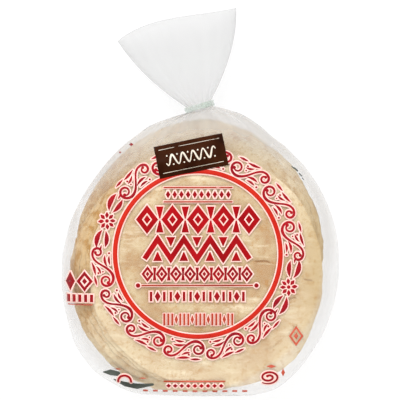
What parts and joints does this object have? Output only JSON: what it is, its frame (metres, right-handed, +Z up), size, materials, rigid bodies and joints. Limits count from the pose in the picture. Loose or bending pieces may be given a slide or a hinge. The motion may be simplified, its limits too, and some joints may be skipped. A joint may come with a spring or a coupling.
{
  "type": "bag of corn tortillas",
  "caption": "Round stack of small white corn tortillas in a clear film bag that lies flat, its neck gathered in a band of tape and its loose end fanned out.",
  "frame": {"origin": "on the floor that the bag lies on, under the middle of its bounding box", "axes": "+Z up, out of the printed face; +Y along the bag towards its gathered neck; +X to the right seen from above with the neck at the top"},
  "size_m": [0.1387, 0.1946, 0.041],
  "materials": {
    "clear_film": "clear, thin polyethylene film, glossy, wrinkled",
    "band_tape": "translucent adhesive tape, satin",
    "tortilla": "baked white corn dough, dry and matte, with toasted spots",
    "red_ink": "red ink printed on film",
    "coral_ink": "pale red ink printed on film",
    "pale_ink": "pale pink ink printed on film",
    "brown_ink": "dark brown ink printed on film"
  },
  "bodies": {
    "root": {"bag": "clear_film", "neck_band": "band_tape"}
  },
  "joints": []
}
